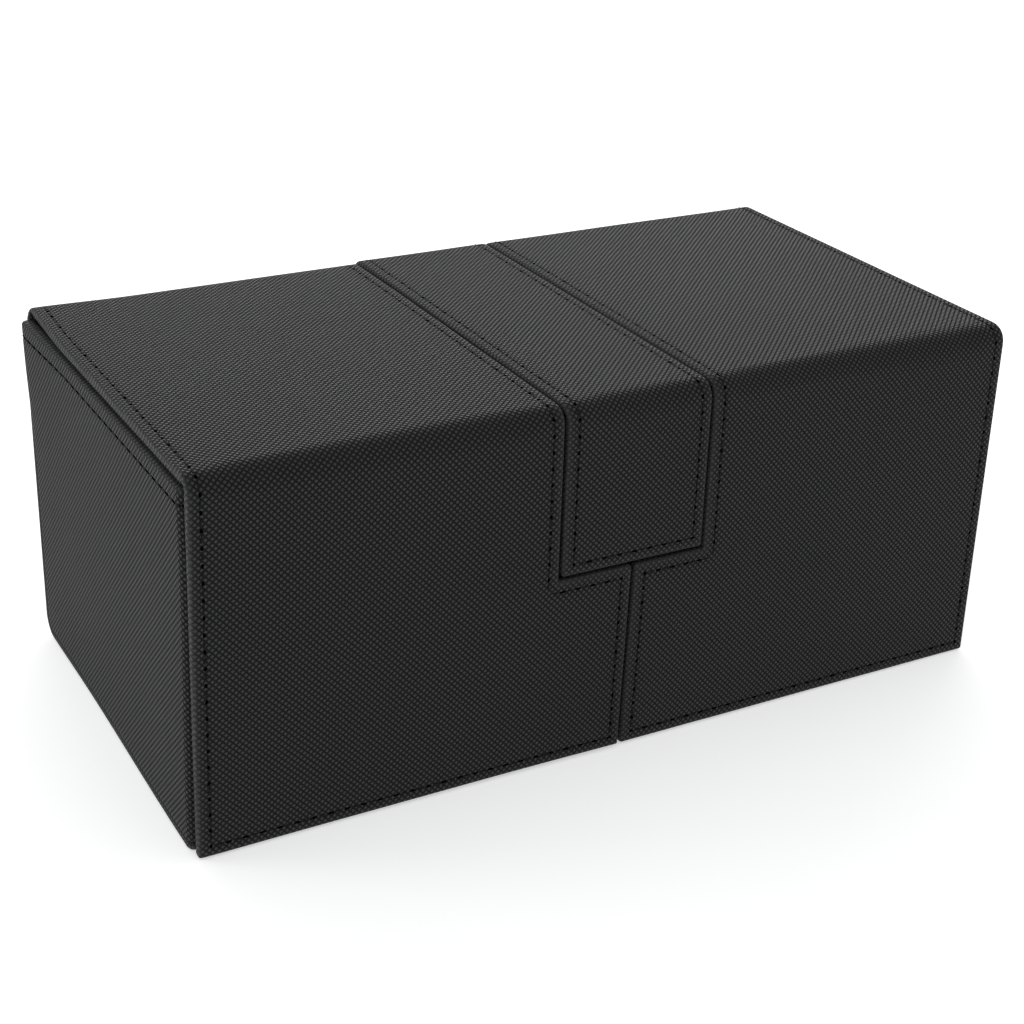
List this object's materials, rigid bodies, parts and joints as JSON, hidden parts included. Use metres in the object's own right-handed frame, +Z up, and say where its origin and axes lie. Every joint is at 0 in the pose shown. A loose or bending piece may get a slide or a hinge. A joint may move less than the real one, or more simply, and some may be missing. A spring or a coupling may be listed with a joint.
{
  "type": "card deck box",
  "caption": "Twin deck box for collectible cards with side-by-side lids, front flaps held by magnets, a middle strap lid, partitions and a lift-out tray.",
  "frame": {"origin": "middle of the footprint, on the surface the box stands on", "axes": "+Z up, the flaps face -Y, +X to the right seen from the front"},
  "size_m": [0.21, 0.1122, 0.0894],
  "materials": {
    "cover": "embossed, semi-matt",
    "lining": "brushed microfibre",
    "thread": "twisted",
    "greyboard": "pressed paper board",
    "magnet": "nickel plated",
    "keeper_steel": "plain",
    "tray": "fine matt",
    "divider": "frosted"
  },
  "bodies": {
    "case": {"back_board": "greyboard", "back_cover": "cover", "bottom_board": "greyboard", "bottom_cover": "cover", "front_board": "greyboard", "front_cover": "cover", "left_divider": "divider", "left_end_board": "greyboard", "left_end_cover": "cover", "left_inner_keeper": "keeper_steel", "left_lid_hinge": "cover", "left_lining": "lining", "left_outer_keeper": "keeper_steel", "left_partition": "greyboard", "lift_out_tray": "tray", "middle_lining": "lining", "right_divider": "divider", "right_end_board": "greyboard", "right_end_cover": "cover", "right_inner_keeper": "keeper_steel", "right_lid_hinge": "cover", "right_lining": "lining", "right_outer_keeper": "keeper_steel", "right_partition": "greyboard", "strap_hinge": "cover", "tongue_keeper": "keeper_steel"},
    "left_lid": {"left_lid_board": "greyboard", "left_lid_cover": "cover", "left_lid_fold": "cover", "left_lid_lining": "lining"},
    "strap": {"strap_board": "greyboard", "strap_cover": "cover", "strap_fold": "cover", "strap_lining": "lining"},
    "right_lid": {"right_lid_board": "greyboard", "right_lid_cover": "cover", "right_lid_fold": "cover", "right_lid_lining": "lining"},
    "left_flap": {"left_flap_board": "greyboard", "left_flap_cover": "cover", "left_flap_lining": "lining", "left_inner_magnet": "magnet", "left_outer_magnet": "magnet"},
    "tongue": {"tongue_board": "greyboard", "tongue_cover": "cover", "tongue_lining": "lining", "tongue_magnet": "magnet"},
    "right_flap": {"right_flap_board": "greyboard", "right_flap_cover": "cover", "right_flap_lining": "lining", "right_inner_magnet": "magnet", "right_outer_magnet": "magnet"}
  },
  "joints": [
    {"name": "left_lid_hinge", "type": "hinge", "parent": "case", "child": "left_lid", "pos_m": [0, 0.05503, 0.08833], "axis": [-1, 0, 0], "range_deg": [0, 178], "deforming": ["left_lid_hinge"]},
    {"name": "left_flap_fold", "type": "hinge", "parent": "left_lid", "child": "left_flap", "pos_m": [0, -0.05511, 0.08841], "axis": [-1, 0, 0], "range_deg": [0, 90], "deforming": ["left_lid_fold"]},
    {"name": "strap_hinge", "type": "hinge", "parent": "case", "child": "strap", "pos_m": [0, 0.05503, 0.08833], "axis": [-1, 0, 0], "range_deg": [0, 178], "deforming": ["strap_hinge"]},
    {"name": "tongue_fold", "type": "hinge", "parent": "strap", "child": "tongue", "pos_m": [0, -0.05511, 0.08841], "axis": [-1, 0, 0], "range_deg": [0, 90], "deforming": ["strap_fold"]},
    {"name": "right_lid_hinge", "type": "hinge", "parent": "case", "child": "right_lid", "pos_m": [0, 0.05503, 0.08833], "axis": [-1, 0, 0], "range_deg": [0, 178], "deforming": ["right_lid_hinge"]},
    {"name": "right_flap_fold", "type": "hinge", "parent": "right_lid", "child": "right_flap", "pos_m": [0, -0.05511, 0.08841], "axis": [-1, 0, 0], "range_deg": [0, 90], "deforming": ["right_lid_fold"]}
  ]
}
